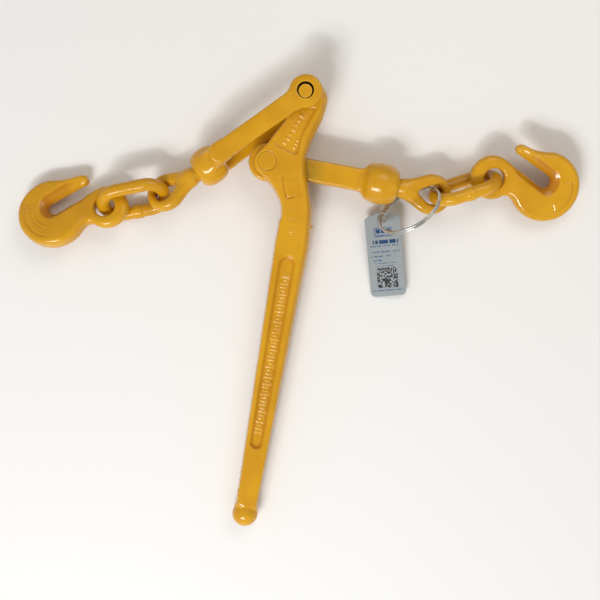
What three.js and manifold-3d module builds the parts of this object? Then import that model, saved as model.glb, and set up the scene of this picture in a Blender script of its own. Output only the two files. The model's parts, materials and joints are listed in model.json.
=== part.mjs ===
// Lever load binder with two grab hooks, lying slack on a flat floor.
// Millimetres, +Z up, the floor is z = 0, the origin is under the middle of the whole binder.
import * as THREE from 'three';
import { mergeVertices } from 'three/addons/utils/BufferGeometryUtils.js';
import Module from 'manifold-3d';

const wasm = await Module();
wasm.setup();

// ---- driving dimensions -------------------------------------------------
const GAP = 0.3; // working clearance between fitted pieces
const RAD = Math.PI / 180;

// how the binder lies: height of its middle plane at the main rivet, and its two tilts
const REST_HEIGHT = 24.2;
const TILT_SIDE = 1.2; // left side up
const TILT_LENGTH = 2.35; // handle end down

// lever: main rivet at its origin, handle pointing down
const HEAD_HALF = 15.5; // half thickness over the two ears
const SLOT_HALF = 8; // half width of the fork slot
const NECK_Y = -58;
const SHANK_TOP = { y: -45, x: 25.6, wide: 14.6, thick: 11.4 };
const SHANK_MID = { y: -72, x: 21.7, wide: 15.3, thick: 11.4 };
const SHANK_END = { y: -306, x: -19.3, wide: 9.4, thick: 9.6 };
const BALL_RADIUS = 11.3;
const BALL_AT = [-20.6, -313];
const TRUNNION_AT = [33, 59.8];
const TRUNNION_RADIUS = 6;
const TRUNNION_LENGTH = 24.7;

// main rivet
const RIVET_RADIUS = 7.5;
const RIVET_HEAD_RADIUS = 8.2;
const RIVET_HEAD_DEPTH = 3;

// tension arm
const ARM_ANGLE = -10.5;
const ARM_EYE_RADIUS = 16.7;
const ARM_HALF_WIDTH = 10.2;
const ARM_HALF_THICK = 7.5;
const ARM_SOCKET_X = 104;
const ARM_BULB_RADIUS = 17.9;

// take-up yoke: trunnion bore at its origin, strap axis a little below the bore
const YOKE_ANGLE = 215.2;
const YOKE_AXIS_Y = 2.4;
const YOKE_LOBE_RADIUS = 14.8;
const YOKE_BORE_RADIUS = 7.4;
const STRAP_HALF_WIDTH = 8.85;
const STRAP_INNER = 17;
const STRAP_OUTER = 25;
const YOKE_SOCKET_X = 106;
const YOKE_BULB_RADIUS = 17;

// swivel eyes: ball head at the origin, eye along +X
const SWIVEL_BALL_RADIUS = 11.5;
const SOCKET_RADIUS = 11.9;
const NECK_RADIUS = 7.8;
const EYE_CENTRE_X = 44;
const EYE_RADIUS = 18;
const EYE_HALF_THICK = 5.5;

// connecting links
const LINK_WIRE_RADIUS = 5.9;
const LINK_BEND_RADIUS = 15.5;
const LINK_STRAIGHT = 12.25;

// grab hooks: bend centre at the origin, eye along +X
const HOOK_RADIUS = 31;
const HOOK_HALF_THICK = 8;
const HOOK_EYE_X = 48.4;
const HOOK_EYE_RADIUS = 19.4;
const HOOK_BORE_AT = [46.8, -0.6];
const HOOK_BORE_RADIUS = 9.2;
const HOOK_EYE_HALF_THICK = 5.6;
const THROAT_ANGLE = 26.2;

// split ring and tag
const RING_RADIUS = 29.2;
const RING_WIRE_RADIUS = 1.1;
const TAG_WIDTH = 32;
const TAG_LENGTH = 71;
const TAG_CORNER = 5;
const TAG_ARCH = 5;
const TAG_THICK = 1.2;
const TAG_HOLE_RADIUS = 4;

// ---- finishes -----------------------------------------------------------
const PAINT = { color: 0xd99f26, roughness: 0.32, metalness: 0.1 };
const BARE_STEEL = { color: 0xa9adad, roughness: 0.3, metalness: 0.9 };
const TAG_PLATE = { color: 0xa4a9ab, roughness: 0.45, metalness: 0.3 };

// ---- helpers ------------------------------------------------------------
function solid(geometry) {
  const bare = geometry.clone();
  bare.deleteAttribute('normal');
  bare.deleteAttribute('uv');
  const welded = mergeVertices(bare, 1e-4);
  return new wasm.Manifold(new wasm.Mesh({
    numProp: 3,
    vertProperties: new Float32Array(welded.attributes.position.array),
    triVerts: new Uint32Array(welded.index.array),
  }));
}

function skin(body) {
  const mesh = body.getMesh();
  const geometry = new THREE.BufferGeometry();
  const points = new Float32Array(mesh.vertProperties);
  geometry.setAttribute('position', new THREE.BufferAttribute(points, 3));
  geometry.setIndex(new THREE.BufferAttribute(new Uint32Array(mesh.triVerts), 1));
  geometry.computeVertexNormals();
  return geometry;
}

// flat outline made into a plate between two heights, with rounded edges
function plate(shape, low, high, bevel = 0, bevelSegments = 2, curveSegments = 8) {
  const geometry = new THREE.ExtrudeGeometry(shape, {
    depth: high - low - 2 * bevel,
    bevelEnabled: bevel > 0,
    bevelThickness: bevel,
    bevelSize: bevel,
    bevelOffset: -bevel,
    bevelSegments,
    curveSegments,
  });
  return geometry.translate(0, 0, low + bevel);
}

// side outline in X-Z made into a block centred on Y
function sideBlock(points, halfWidth, bevel = 0) {
  const shape = new THREE.Shape(points.map(([x, z]) => new THREE.Vector2(x, z)));
  return plate(shape, -halfWidth, halfWidth, bevel).rotateX(Math.PI / 2);
}

// profile of [along, radius] turned about the X axis
function turned(profile, segments = 24) {
  const points = profile.map(([along, radius]) => new THREE.Vector2(radius, along));
  return new THREE.LatheGeometry(points, segments).rotateZ(-Math.PI / 2);
}

function circle(radius, x = 0, y = 0) {
  const shape = new THREE.Shape();
  shape.absarc(x, y, radius, 0, 2 * Math.PI);
  return shape;
}

function bore(radius, halfLength, x = 0, y = 0, segments = 24) {
  const geometry = new THREE.CylinderGeometry(radius, radius, 2 * halfLength, segments);
  return geometry.rotateX(Math.PI / 2).translate(x, y, 0);
}

// skin over a run of equal-sized sections, capped at both ends unless it is a loop
function loft(sections, loop = false) {
  const size = sections[0].length;
  const points = sections.flat();
  const index = [];
  const last = loop ? sections.length : sections.length - 1;
  for (let i = 0; i < last; i += 1) {
    const here = i * size;
    const next = ((i + 1) % sections.length) * size;
    for (let j = 0; j < size; j += 1) {
      const k = (j + 1) % size;
      index.push(here + j, here + k, next + k);
      index.push(here + j, next + k, next + j);
    }
  }
  if (!loop) {
    for (const [start, flip] of [[0, true], [(sections.length - 1) * size, false]]) {
      const middle = new THREE.Vector3();
      for (let j = 0; j < size; j += 1) {
        middle.addScaledVector(points[start + j], 1 / size);
      }
      points.push(middle);
      for (let j = 0; j < size; j += 1) {
        const k = (j + 1) % size;
        const fan = [points.length - 1, start + j, start + k];
        index.push(...(flip ? fan.reverse() : fan));
      }
    }
  }
  const geometry = new THREE.BufferGeometry().setFromPoints(points);
  geometry.setIndex(index);
  geometry.computeVertexNormals();
  return geometry;
}

// round wire along a curve given as point and direction at 0..1, kept upright to the Z axis
function wire(path, radius, steps, sides, loop) {
  const sections = [];
  for (let i = 0; i < (loop ? steps : steps + 1); i += 1) {
    const { at, along } = path(i / steps);
    const up = new THREE.Vector3(0, 0, 1);
    const out = new THREE.Vector3().crossVectors(up, along).normalize();
    const lift = new THREE.Vector3().crossVectors(along, out).normalize();
    const section = [];
    for (let j = 0; j < sides; j += 1) {
      const turn = (2 * Math.PI * j) / sides;
      section.push(at.clone()
        .addScaledVector(out, radius * Math.cos(turn))
        .addScaledVector(lift, radius * Math.sin(turn)));
    }
    sections.push(section);
  }
  return loft(sections, loop);
}

// ---- lever --------------------------------------------------------------
function leverHead() {
  const outline = new THREE.Shape();
  outline.moveTo(37.3, -70);
  outline.lineTo(39.3, -50);
  outline.splineThru([
    [39.8, -38], [39, -29], [36.4, -18], [35.3, -8], [35.5, 2], [36.9, 8.5],
    [42.3, 20.6], [49.2, 35], [53, 47], [53.6, 55], [51.2, 62], [46, 68.6],
  ].map(([x, y]) => new THREE.Vector2(x, y)));
  outline.splineThru([
    [40, 71.8], [33, 72.8], [26, 71], [21.2, 66], [19, 58], [18.4, 47], [15.2, 36.4],
  ].map(([x, y]) => new THREE.Vector2(x, y)));
  outline.lineTo(-1.1, 15.2);
  outline.splineThru([
    [-9.4, 7.4], [-12.4, 0.5], [-10.6, -7], [-4.4, -13.6], [0.5, -18], [6, -25.6],
    [10, -33.5], [11.5, -41], [11.2, -47.5], [9.5, -54],
  ].map(([x, y]) => new THREE.Vector2(x, y)));
  outline.lineTo(6.6, -70);
  return plate(outline, -HEAD_HALF, HEAD_HALF, 1.8, 1, 2);
}

// head thickness seen from the side: full over the ears, thinning to the shank
function leverTaper() {
  const side = sideBlock([
    [-80, -SHANK_TOP.thick], [NECK_Y, -SHANK_TOP.thick], [-18, -HEAD_HALF], [90, -HEAD_HALF],
    [90, HEAD_HALF], [-18, HEAD_HALF], [NECK_Y, SHANK_TOP.thick], [-80, SHANK_TOP.thick],
  ], 80);
  return side.rotateZ(Math.PI / 2);
}

function shankSection({ x, y, wide, thick }, tilt) {
  const corner = 0.42 * thick;
  const points = [];
  for (let quarter = 0; quarter < 4; quarter += 1) {
    const signX = quarter === 0 || quarter === 3 ? 1 : -1;
    const signZ = quarter < 2 ? 1 : -1;
    for (let step = 0; step <= 3; step += 1) {
      const turn = (quarter * 90 + step * 30) * RAD;
      const across = signX * (wide - corner) + corner * Math.cos(turn);
      const lift = signZ * (thick - corner) + corner * Math.sin(turn);
      points.push(new THREE.Vector3(x + across * Math.cos(tilt), y + across * Math.sin(tilt), lift));
    }
  }
  return points;
}

function leverShank() {
  const lean = Math.atan2(SHANK_MID.x - SHANK_END.x, SHANK_MID.y - SHANK_END.y);
  return loft([
    shankSection(SHANK_TOP, 0),
    shankSection(SHANK_MID, -0.6 * lean),
    shankSection(SHANK_END, -lean),
  ]);
}

// space swept by the tension arm between the ears, open at the top and on the right
function forkSlot() {
  const sweep = ARM_EYE_RADIUS + 0.8;
  const shape = new THREE.Shape();
  shape.moveTo(-60, 90);
  shape.lineTo(-60, 0);
  shape.lineTo(-sweep, 0);
  shape.absarc(0, 0, sweep, Math.PI, 290.5 * RAD, false);
  shape.lineTo(70, -54.1);
  shape.lineTo(70, 90);
  return plate(shape, -SLOT_HALF, SLOT_HALF, 0, 1, 16);
}

function stadium(x0, y0, r0, x1, y1, r1) {
  const along = Math.atan2(y1 - y0, x1 - x0);
  const shape = new THREE.Shape();
  shape.absarc(x0, y0, r0, along + Math.PI / 2, along + 1.5 * Math.PI, false);
  shape.absarc(x1, y1, r1, along - Math.PI / 2, along + Math.PI / 2, false);
  return shape;
}

function lever() {
  let body = solid(leverHead()).intersect(solid(leverTaper()));
  body = body.add(solid(leverShank()));
  const ball = new THREE.SphereGeometry(BALL_RADIUS, 20, 12);
  body = body.add(solid(ball.translate(BALL_AT[0], BALL_AT[1], 0)));
  body = body.subtract(solid(forkSlot()));
  const stub = solid(bore(TRUNNION_RADIUS, TRUNNION_LENGTH, ...TRUNNION_AT, 28));
  body = body.add(stub.subtract(solid(forkSlot())));
  body = body.subtract(solid(rivetForm(GAP)));
  const recess = plate(stadium(16.8, -91, 7.6, -14.4, -247, 6), -1, 1, 0, 1, 6);
  for (const side of [1, -1]) {
    body = body.subtract(solid(recess.clone().translate(0, 0, side * 11.2)));
  }
  return skin(body);
}

// flush rivet with both ends spread into shallow countersinks
function rivetForm(extra) {
  const end = HEAD_HALF - 0.2 + extra;
  const root = HEAD_HALF - RIVET_HEAD_DEPTH;
  const thin = RIVET_RADIUS + extra;
  const wide = RIVET_HEAD_RADIUS + extra;
  const form = turned([[-end, 0], [-end, wide], [-root, thin], [root, thin], [end, wide], [end, 0]], 24);
  return form.rotateY(-Math.PI / 2);
}

// ---- tension arm and yoke -----------------------------------------------
// swaged socket bulb, closed at the back, open at the mouth
function bulb(socketX, radius, back) {
  return turned([
    [back, 0], [back, 0.5 * radius], [back + 3.2, 0.8 * radius], [back + 7, 0.95 * radius],
    [socketX - 4, radius], [socketX + 4, 0.995 * radius], [socketX + 9.5, 0.92 * radius],
    [socketX + 13, 0.8 * radius], [socketX + 14.8, 0.66 * radius], [socketX + 14.8, 0],
  ]);
}

function socket(socketX) {
  const ball = new THREE.SphereGeometry(SOCKET_RADIUS, 18, 10).rotateZ(Math.PI / 2);
  const mouth = turned([[0, 0], [0, 9], [9, 9], [18, 11.6], [18, 0]], 18);
  return solid(ball.translate(socketX, 0, 0)).add(solid(mouth.translate(socketX, 0, 0)));
}

function tensionArm() {
  const eye = circle(ARM_EYE_RADIUS);
  const bar = new THREE.Shape();
  bar.moveTo(0, -ARM_HALF_WIDTH);
  bar.lineTo(80, -ARM_HALF_WIDTH);
  bar.quadraticCurveTo(87, -ARM_HALF_WIDTH, 90, -14.5);
  bar.lineTo(94, -14.5);
  bar.lineTo(94, 14.5);
  bar.lineTo(90, 14.5);
  bar.quadraticCurveTo(87, ARM_HALF_WIDTH, 80, ARM_HALF_WIDTH);
  bar.lineTo(0, ARM_HALF_WIDTH);
  let body = solid(plate(eye, -ARM_HALF_THICK, ARM_HALF_THICK, 1.6, 1, 12));
  body = body.add(solid(plate(bar, -ARM_HALF_THICK, ARM_HALF_THICK, 1.6, 1, 4)));
  body = body.add(solid(bulb(ARM_SOCKET_X, ARM_BULB_RADIUS, 86)));
  body = body.subtract(socket(ARM_SOCKET_X));
  body = body.subtract(solid(bore(RIVET_RADIUS + GAP, 20)));
  return skin(body);
}

function yokeStrap() {
  const [x, y, r] = [-0.4, YOKE_AXIS_Y, YOKE_LOBE_RADIUS];
  const low = y - STRAP_HALF_WIDTH;
  const high = y + STRAP_HALF_WIDTH;
  const turn = 44 * RAD;
  const shape = new THREE.Shape();
  shape.moveTo(99, low + 3);
  shape.quadraticCurveTo(101, y, 99, high - 3);
  shape.lineTo(94, high);
  shape.lineTo(21, high);
  shape.quadraticCurveTo(14, high, x + r * Math.cos(turn), y + r * Math.sin(turn));
  shape.absarc(x, y, r, turn, 2 * Math.PI - turn, false);
  shape.quadraticCurveTo(14, low, 21, low);
  shape.lineTo(94, low);
  return shape;
}

function takeUpYoke() {
  const strap = yokeStrap();
  let body = solid(plate(strap, STRAP_INNER, STRAP_OUTER, 1.6, 1, 7));
  body = body.add(solid(plate(strap, -STRAP_OUTER, -STRAP_INNER, 1.6, 1, 7)));
  const bridge = sideBlock([
    [86, -24], [96, -24.4], [108, -14], [108, 14], [96, 24.4], [86, 24], [86, 17.6],
    [90, 15], [92.5, 8], [92.5, -8], [90, -15], [86, -17.6],
  ], STRAP_HALF_WIDTH - 0.2, 0);
  body = body.add(solid(bridge.translate(0, YOKE_AXIS_Y, 0)));
  body = body.add(solid(bulb(YOKE_SOCKET_X, YOKE_BULB_RADIUS, 91.5).translate(0, YOKE_AXIS_Y, 0)));
  body = body.subtract(socket(YOKE_SOCKET_X).translate([0, YOKE_AXIS_Y, 0]));
  body = body.subtract(solid(bore(YOKE_BORE_RADIUS, 40)));
  return skin(body);
}

// ---- swivel eyes, links, hooks ------------------------------------------
function swivelEye() {
  const shape = new THREE.Shape();
  const lean = 68 * RAD;
  const [cx, r] = [EYE_CENTRE_X, EYE_RADIUS];
  shape.moveTo(17, -8.2);
  shape.quadraticCurveTo(26, -10.4, cx - r * Math.cos(lean), -r * Math.sin(lean));
  shape.absarc(cx, 0, r, Math.PI + lean, Math.PI - lean, false);
  shape.quadraticCurveTo(26, 10.4, 17, 8.2);
  const hole = new THREE.Path();
  hole.moveTo(33.4, -1.6);
  hole.lineTo(42.5, -7.6);
  hole.bezierCurveTo(47, -10, 54.6, -9, 54.6, 0);
  hole.bezierCurveTo(54.6, 9, 47, 10, 42.5, 7.6);
  hole.lineTo(33.4, 1.6);
  hole.quadraticCurveTo(31.8, 0, 33.4, -1.6);
  shape.holes.push(hole);
  let body = solid(plate(shape, -EYE_HALF_THICK, EYE_HALF_THICK, 2.6, 2, 6));
  const stem = turned([
    [6, 0], [6, NECK_RADIUS], [13.5, NECK_RADIUS], [17, 8.6], [21, 8.4], [26, 6.4],
    [30, 4.6], [30, 0],
  ], 18);
  body = body.add(solid(stem));
  const head = new THREE.SphereGeometry(SWIVEL_BALL_RADIUS, 18, 10).rotateZ(Math.PI / 2);
  return skin(body.add(solid(head)));
}

// oval link in its X-Z plane, long axis X
function linkPath(t) {
  const [half, r] = [LINK_STRAIGHT, LINK_BEND_RADIUS];
  const bend = Math.PI * r;
  let run = t * (4 * half + 2 * bend);
  const at = new THREE.Vector3();
  const along = new THREE.Vector3();
  if (run < bend) {
    const turn = run / r - Math.PI / 2;
    at.set(half + r * Math.cos(turn), r * Math.sin(turn), 0);
    along.set(-Math.sin(turn), Math.cos(turn), 0);
  } else if (run < bend + 2 * half) {
    run -= bend;
    at.set(half - run, r, 0);
    along.set(-1, 0, 0);
  } else if (run < 2 * bend + 2 * half) {
    const turn = (run - bend - 2 * half) / r + Math.PI / 2;
    at.set(-half + r * Math.cos(turn), r * Math.sin(turn), 0);
    along.set(-Math.sin(turn), Math.cos(turn), 0);
  } else {
    run -= 2 * bend + 2 * half;
    at.set(-half + run, -r, 0);
    along.set(1, 0, 0);
  }
  return { at, along };
}

function chainLink() {
  return wire(linkPath, LINK_WIRE_RADIUS, 30, 10, true).rotateX(Math.PI / 2);
}

function hookOutline() {
  const shape = new THREE.Shape();
  const slope = THROAT_ANGLE * RAD;
  const [ex, er] = [HOOK_EYE_X, HOOK_EYE_RADIUS];
  shape.moveTo(1, 11.1);
  shape.lineTo(30.2, 24.1);
  shape.absarc(28.2, 28.3, 4.6, -64 * RAD, 100 * RAD, false);
  shape.quadraticCurveTo(18, 30.2, 12, 30.1);
  shape.quadraticCurveTo(6, 30.1, 0, HOOK_RADIUS);
  shape.absarc(0, 0, HOOK_RADIUS, 92 * RAD, 322 * RAD, false);
  shape.bezierCurveTo(28, -14.4, 31, -13, 35.5, -14.5);
  shape.absarc(ex, 0, er, 228.5 * RAD, 360 * RAD + Math.PI / 2 + slope, false);
  shape.lineTo(12.7, 3.4);
  shape.lineTo(4.4, -0.8);
  shape.absarc(1.8, 4.6, 6, -64 * RAD, -244 * RAD, true);
  const hole = new THREE.Path();
  hole.absarc(HOOK_BORE_AT[0], HOOK_BORE_AT[1], HOOK_BORE_RADIUS, 0, 2 * Math.PI);
  shape.holes.push(hole);
  return shape;
}

function grabHook() {
  const body = solid(plate(hookOutline(), -HOOK_HALF_THICK, HOOK_HALF_THICK, 3.4, 2, 8));
  const side = sideBlock([
    [-50, -9], [22, -9], [34, -HOOK_EYE_HALF_THICK], [80, -HOOK_EYE_HALF_THICK],
    [80, HOOK_EYE_HALF_THICK], [34, HOOK_EYE_HALF_THICK], [22, 9], [-50, 9],
  ], 60);
  return skin(body.intersect(solid(side)));
}

// ---- split ring and tag -------------------------------------------------
// two turns of wire lying side by side
function splitRing() {
  const turns = 1.95;
  const pitch = 2 * RING_WIRE_RADIUS + 0.2;
  const path = (t) => {
    const turn = 2 * Math.PI * turns * t;
    const rise = pitch / (2 * Math.PI);
    const x = RING_RADIUS * Math.cos(turn);
    const y = RING_RADIUS * Math.sin(turn);
    const along = new THREE.Vector3(-y, x, rise).normalize();
    return { at: new THREE.Vector3(x, y, rise * (turn - Math.PI * turns)), along };
  };
  return wire(path, RING_WIRE_RADIUS, 64, 6, false);
}

function tagPlate() {
  const half = TAG_WIDTH / 2;
  const shape = new THREE.Shape();
  shape.moveTo(-half, 0);
  shape.lineTo(-half, -TAG_LENGTH + TAG_CORNER);
  shape.quadraticCurveTo(-half, -TAG_LENGTH, -half + TAG_CORNER, -TAG_LENGTH);
  shape.lineTo(half - TAG_CORNER, -TAG_LENGTH);
  shape.quadraticCurveTo(half, -TAG_LENGTH, half, -TAG_LENGTH + TAG_CORNER);
  shape.lineTo(half, 0);
  shape.quadraticCurveTo(0, 2 * TAG_ARCH, -half, 0);
  const hole = new THREE.Path();
  hole.absarc(0, 0, TAG_HOLE_RADIUS, 0, 2 * Math.PI);
  shape.holes.push(hole);
  return plate(shape, -TAG_THICK / 2, TAG_THICK / 2, 0, 1, 12);
}

// ---- assembly -----------------------------------------------------------
const binder = new THREE.Group();
binder.name = 'lever_load_binder';

function add(name, geometry, finish, frame) {
  const mesh = new THREE.Mesh(geometry, new THREE.MeshStandardMaterial(finish));
  mesh.name = name;
  frame.decompose(mesh.position, mesh.quaternion, mesh.scale);
  binder.add(mesh);
  return mesh;
}

function turnZ(degrees) {
  return new THREE.Matrix4().makeRotationZ(degrees * RAD);
}

function shift(x, y, z) {
  return new THREE.Matrix4().makeTranslation(x, y, z);
}

// frame at a point from heading, downward pitch and roll about its own X axis
function pose([x, y, z], heading, pitch, roll) {
  const turn = new THREE.Euler(roll * RAD, pitch * RAD, heading * RAD, 'ZYX');
  return shift(x, y, z).multiply(new THREE.Matrix4().makeRotationFromEuler(turn));
}

const leverFrame = shift(0, 0, REST_HEIGHT)
  .multiply(new THREE.Matrix4().makeRotationX(TILT_LENGTH * RAD))
  .multiply(new THREE.Matrix4().makeRotationY(TILT_SIDE * RAD));
const armFrame = leverFrame.clone().multiply(turnZ(ARM_ANGLE));
const yokeFrame = leverFrame.clone().multiply(shift(...TRUNNION_AT, 0)).multiply(turnZ(YOKE_ANGLE));
const leftBall = new THREE.Vector3(YOKE_SOCKET_X, YOKE_AXIS_Y, 0).applyMatrix4(yokeFrame);
const rightBall = new THREE.Vector3(ARM_SOCKET_X, 0, 0).applyMatrix4(armFrame);

add('lever', lever(), PAINT, leverFrame);
add('main_rivet', rivetForm(0), PAINT, leverFrame);
add('take_up_yoke', takeUpYoke(), PAINT, yokeFrame);
add('tension_arm', tensionArm(), PAINT, armFrame);
add('left_swivel_eye', swivelEye(), PAINT, pose(leftBall.toArray(), 211.3, 5, 30.6));
add('right_swivel_eye', swivelEye(), PAINT, pose(rightBall.toArray(), -11.1, 3, 13.1));
add('left_link', chainLink(), PAINT, pose([-119, -32.2, 18.7], 191.3, 0.1, 37.4));
add('right_link', chainLink(), PAINT, pose([175.3, -21.8, 20.5], 17.6, 1.5, 27.6));
add('left_hook', grabHook(), PAINT, pose([-191.8, -43.8, 16.1], 7.9, -2.6, -17.4));
add('right_hook', grabHook(), PAINT, pose([248.4, -19.1, 15.5], 171, -5.7, 166.5));
add('split_ring', splitRing(), BARE_STEEL, pose([125.4, -41.9, 27.3], 50.1, 20.8, -55.3));
add('tag', tagPlate(), TAG_PLATE, pose([102.4, -47.8, 12.5], 4.5, -9.7, 7.75));

// bring the middle of the footprint to the origin and the lowest point to the floor
const bounds = new THREE.Box3().setFromObject(binder, true);
const middle = bounds.getCenter(new THREE.Vector3());
binder.position.set(-middle.x, -middle.y, -bounds.min.z);
binder.updateMatrixWorld(true);

export default binder;
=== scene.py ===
# Lever load binder with two grab hooks, lying slack on a pale floor.
# Every piece but the ring is a distance field in its own frame, turned into a mesh. Frames and shapes are in
# millimetres, and the objects that they make are placed in metres.
import json
import math
import bpy
import numpy as np
import openvdb
from mathutils import Matrix, Vector


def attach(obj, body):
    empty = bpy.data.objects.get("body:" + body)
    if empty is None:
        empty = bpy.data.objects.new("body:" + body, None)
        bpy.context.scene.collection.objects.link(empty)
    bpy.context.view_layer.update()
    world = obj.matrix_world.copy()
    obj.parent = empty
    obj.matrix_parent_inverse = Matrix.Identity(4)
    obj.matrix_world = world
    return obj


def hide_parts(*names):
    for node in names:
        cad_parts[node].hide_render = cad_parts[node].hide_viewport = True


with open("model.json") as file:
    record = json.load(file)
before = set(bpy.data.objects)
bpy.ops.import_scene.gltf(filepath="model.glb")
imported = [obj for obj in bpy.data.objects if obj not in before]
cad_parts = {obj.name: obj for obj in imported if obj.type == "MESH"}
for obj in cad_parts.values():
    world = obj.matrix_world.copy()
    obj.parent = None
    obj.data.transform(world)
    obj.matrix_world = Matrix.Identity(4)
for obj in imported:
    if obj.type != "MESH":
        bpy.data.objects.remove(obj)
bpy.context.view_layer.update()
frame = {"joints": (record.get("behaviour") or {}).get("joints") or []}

# ---- places, in mm: each piece lies where the CAD model has it, the two hooks within 2 mm ----
MM = 0.001
PIVOT_HEIGHT = 24.2
STUB_AT = (33.0, 59.8)
ARM_SOCKET = (104, 0, 0)
YOKE_SOCKET = (106, 2.4, 0)


def turn(axis, degrees):
    return Matrix.Rotation(math.radians(degrees), 4, axis)


def pose(at, heading, pitch, roll):
    """Frame at a point: rolled about its own X, then pitched, then turned to its heading."""
    return Matrix.Translation(at) @ turn("Z", heading) @ turn("Y", pitch) @ turn("X", roll)


# The frames are measured from the floor point under the main pivot, and FLOOR_SHIFT puts that in its place.
main_pivot = next(joint["pos_m"] for joint in frame["joints"] if joint["name"] == "arm_pivot")
FLOOR_SHIFT = Matrix.Translation(Vector(main_pivot) / MM - Vector((0, 0, PIVOT_HEIGHT)))
LEVER = Matrix.Translation((0, 0, PIVOT_HEIGHT)) @ turn("X", 2.35) @ turn("Y", 1.2)
ARM = LEVER @ turn("Z", -10.5)
YOKE = LEVER @ Matrix.Translation((*STUB_AT, 0)) @ turn("Z", 215.2)
LEFT_EYE = pose(YOKE @ Vector(YOKE_SOCKET), 211.3, 5, 30.6)
RIGHT_EYE = pose(ARM @ Vector(ARM_SOCKET), -11.1, 3, 13.1)
LEFT_LINK = pose((-119, -32.2, 18.7), 191.3, 0.1, 37.4)
RIGHT_LINK = pose((175.3, -21.8, 20.5), 17.6, 1.5, 27.6)
LEFT_HOOK = pose((-191.0, -44.5, 16.1), 6.9, -2.6, -17.4)
RIGHT_HOOK = pose((246.8, -19.9, 15.5), 171, -5.7, 166.5)
RING = pose((125.4, -41.9, 27.3), 50.1, 20.8, -55.3)
TAG = pose((102.4, -47.8, 12.5), 4.5, -9.7, 7.75)

# ---- sizes that a shape shares with another shape or with the dirt and painted shade round it ----
PIN_HOLE = 7.8
YOKE_HOLE = 7.25
STUB_RADIUS = 5.95
STUB_DROP = 0.8


# ---- distance-field tools ----
def spline(points, steps=5):
    """Open Catmull-Rom curve through the points."""
    p = [points[0]] + list(points) + [points[-1]]
    out = []
    for i in range(1, len(p) - 2):
        for k in range(steps):
            t = k / steps
            row = []
            for c in (0, 1):
                a, b, d, e = p[i - 1][c], p[i][c], p[i + 1][c], p[i + 2][c]
                row.append(0.5 * (2 * b + (d - a) * t + (2 * a - 5 * b + 4 * d - e) * t * t
                                  + (3 * b - a - 3 * d + e) * t ** 3))
            out.append(tuple(row))
    return out + [tuple(points[-1])]


def arc(cx, cy, r, start, end, steps):
    """Points on a circle from one direction to another, in degrees."""
    turns = [math.radians(start + (end - start) * k / steps) for k in range(steps + 1)]
    return [(cx + r * math.cos(t), cy + r * math.sin(t)) for t in turns]


def outline(x, y, points):
    """Signed distance to a closed outline, negative inside."""
    near = np.full(np.broadcast(x, y).shape, 1e9, np.float32)
    sign = np.ones_like(near)
    for (ax, ay), (bx, by) in zip(points, points[1:] + points[:1]):
        ex, ey = bx - ax, by - ay
        long = ex * ex + ey * ey
        if long < 1e-9:
            continue
        wx, wy = x - ax, y - ay
        t = np.clip((wx * ex + wy * ey) / long, 0, 1)
        near = np.minimum(near, (wx - ex * t) ** 2 + (wy - ey * t) ** 2)
        above, below, left = y >= ay, y < by, ex * wy > ey * wx
        flip = (above & below & left) | (~above & ~below & ~left)
        sign = np.where(flip, -sign, sign)
    return (sign * np.sqrt(near)).astype(np.float32)


def meet(a, b, r=0.0):
    """Both at once, with the edge rounded to r."""
    if r <= 0:
        return np.maximum(a, b)
    return np.minimum(np.maximum(a, b), -r) + np.hypot(np.maximum(a + r, 0), np.maximum(b + r, 0))


def join(a, b, r):
    """Either one, with a fillet of r where they meet."""
    return np.maximum(np.minimum(a, b), r) - np.hypot(np.maximum(r - a, 0), np.maximum(r - b, 0))


def cut(a, b, r=0.0):
    """The first without the second, with the edge rounded to r."""
    return meet(a, -b, r)


def ramp(value, low, high):
    """Smooth step from 0 at low to 1 at high."""
    t = np.clip((value - low) / (high - low), 0, 1)
    return t * t * (3 - 2 * t)


def ball(x, y, z, r, cx=0, cy=0, cz=0):
    return np.sqrt((x - cx) ** 2 + (y - cy) ** 2 + (z - cz) ** 2) - r


def segment(x, y, a, b, ra, rb=None):
    """Stadium between two points of a plane, its radius running from ra to rb."""
    rb = ra if rb is None else rb
    ex, ey = b[0] - a[0], b[1] - a[1]
    t = np.clip(((x - a[0]) * ex + (y - a[1]) * ey) / (ex * ex + ey * ey), 0, 1)
    return np.hypot(x - a[0] - ex * t, y - a[1] - ey * t) - (ra + (rb - ra) * t)


def unevenness(x, y, z, size, seed, shape=(1, 1, 1)):
    """Smooth forging unevenness, about -1 to 1, in waves of about that size; shape draws them out by axis."""
    rng = np.random.default_rng(seed)
    total = 0
    for _ in range(5):
        k = rng.normal(size=3) / np.array(shape)
        k = k / np.linalg.norm(k) * rng.uniform(0.6, 1.6) * 2 * math.pi / size
        total = total + np.sin(k[0] * x + k[1] * y + k[2] * z + rng.uniform(0, 6.3))
    return (total / 5).astype(np.float32)


def cells(low, high, step):
    """Coordinates of a box of grid points, one open axis each."""
    axes = [np.arange(a, b + step, step, dtype=np.float32) for a, b in zip(low, high)]
    return axes[0][:, None, None], axes[1][None, :, None], axes[2][None, None, :]


def fullness(field, reach):
    """Share of solid metal within about reach cells of every cell: 0.5 on a flat face, more in a hollow."""
    pad = 3 * reach
    share = np.pad(np.clip(0.5 - field, 0, 1).astype(np.float32), pad)
    width = 2 * reach + 1
    for axis in (0, 1, 2) * 2:
        total = np.cumsum(share, axis=axis, dtype=np.float64)
        window = np.roll(total, -reach, axis) - np.roll(total, reach + 1, axis)
        share = (window / width).astype(np.float32)
    return share[pad:-pad, pad:-pad, pad:-pad]


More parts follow.
